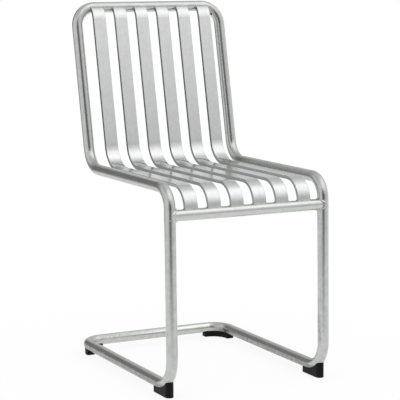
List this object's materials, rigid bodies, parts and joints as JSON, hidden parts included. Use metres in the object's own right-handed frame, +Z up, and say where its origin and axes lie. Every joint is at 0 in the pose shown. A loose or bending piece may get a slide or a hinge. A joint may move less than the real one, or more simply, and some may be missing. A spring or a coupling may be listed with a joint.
{
  "type": "cantilever garden chair",
  "caption": "Cantilever garden chair of galvanised steel: one looped tube frame without rear legs, bent flat bars welded in as seat and back, dark glides under the base.",
  "frame": {"origin": "on the floor, in the middle of the chair's outline seen from above", "axes": "+Z up, the sitter faces -Y, +X is the sitter's left"},
  "size_m": [0.4022, 0.5395, 0.8382],
  "materials": {
    "galvanised_tube": "hot-dip galvanised, satin with faint spangle",
    "galvanised_bar": "hot-dip galvanised, satin with fine lengthwise streaks",
    "galvanised_weld": "hot-dip galvanised weld bead, slightly rough",
    "zinc_steel": "zinc plated, satin",
    "black_glide": "black moulded plastic, matt"
  },
  "bodies": {
    "root": {"upper_frame_tube": "galvanised_tube", "base_frame_tube": "galvanised_tube", "cross_tube": "galvanised_tube", "left_leg_sleeve": "zinc_steel", "right_leg_sleeve": "zinc_steel", "bar_1": "galvanised_bar", "bar_2": "galvanised_bar", "bar_3": "galvanised_bar", "bar_4": "galvanised_bar", "bar_5": "galvanised_bar", "bar_6": "galvanised_bar", "front_left_glide": "black_glide", "front_right_glide": "black_glide", "rear_left_glide": "black_glide", "rear_right_glide": "black_glide", "front_glide_screws": "zinc_steel", "rear_glide_screws": "zinc_steel", "leg_seam_welds": "galvanised_weld", "cross_tube_welds": "galvanised_weld", "bar_top_welds": "galvanised_weld", "bar_front_welds": "galvanised_weld"}
  },
  "joints": []
}
